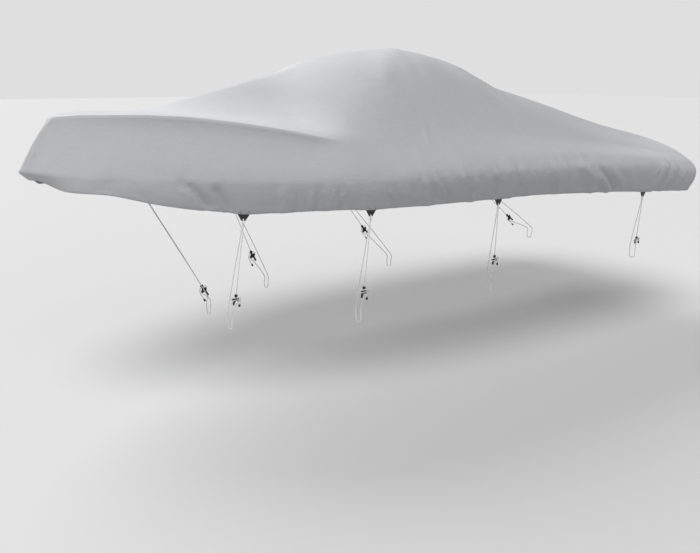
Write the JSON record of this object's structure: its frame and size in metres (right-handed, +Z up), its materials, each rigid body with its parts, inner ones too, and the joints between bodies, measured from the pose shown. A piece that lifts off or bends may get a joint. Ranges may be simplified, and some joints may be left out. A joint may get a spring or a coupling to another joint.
{
  "type": "boat cover",
  "caption": "Fitted cloth storage cover for a half-cabin boat, hollow underneath, with webbing tabs and cord ties along its hem.",
  "frame": {"origin": "on the underside of the cloth at its highest point, where the boat's cabin frame holds it up", "axes": "+X forward to the bow, +Y to port, +Z up"},
  "size_m": [5.404, 2.2249, 1.8758],
  "materials": {
    "cover_cloth": "matt woven polyester, mid grey",
    "black_webbing": "matt black woven webbing",
    "white_cord": "white braided cord",
    "black_plastic": "black moulded plastic"
  },
  "bodies": {
    "root": {"cover_cloth": "cover_cloth", "tab_port_1": "black_webbing", "tab_port_2": "black_webbing", "tab_port_3": "black_webbing", "tab_port_4": "black_webbing", "tab_starboard_1": "black_webbing", "tab_starboard_2": "black_webbing", "tab_starboard_3": "black_webbing", "tab_starboard_4": "black_webbing", "knot_port_1": "white_cord", "knot_port_2": "white_cord", "knot_port_3": "white_cord", "knot_port_4": "white_cord", "knot_starboard_1": "white_cord", "knot_starboard_2": "white_cord", "knot_starboard_3": "white_cord", "knot_starboard_4": "white_cord", "short_tie_port_1": "white_cord", "short_tie_port_2": "white_cord", "short_tie_port_3": "white_cord", "short_tie_port_4": "white_cord", "short_tie_starboard_1": "white_cord", "short_tie_starboard_2": "white_cord", "short_tie_starboard_3": "white_cord", "short_tie_starboard_4": "white_cord", "long_tie_port_1": "white_cord", "long_tie_port_2": "white_cord", "long_tie_port_3": "white_cord", "long_tie_port_4": "white_cord", "long_tie_starboard_1": "white_cord", "long_tie_starboard_2": "white_cord", "long_tie_starboard_3": "white_cord", "long_tie_starboard_4": "white_cord", "cleat_port_1": "black_plastic", "cleat_port_2": "black_plastic", "cleat_port_3": "black_plastic", "cleat_port_4": "black_plastic", "cleat_starboard_1": "black_plastic", "cleat_starboard_2": "black_plastic", "cleat_starboard_3": "black_plastic", "cleat_starboard_4": "black_plastic", "cord_end_port_1": "black_plastic", "cord_end_port_2": "black_plastic", "cord_end_port_3": "black_plastic", "cord_end_port_4": "black_plastic", "cord_end_starboard_1": "black_plastic", "cord_end_starboard_2": "black_plastic", "cord_end_starboard_3": "black_plastic", "cord_end_starboard_4": "black_plastic"}
  },
  "joints": []
}
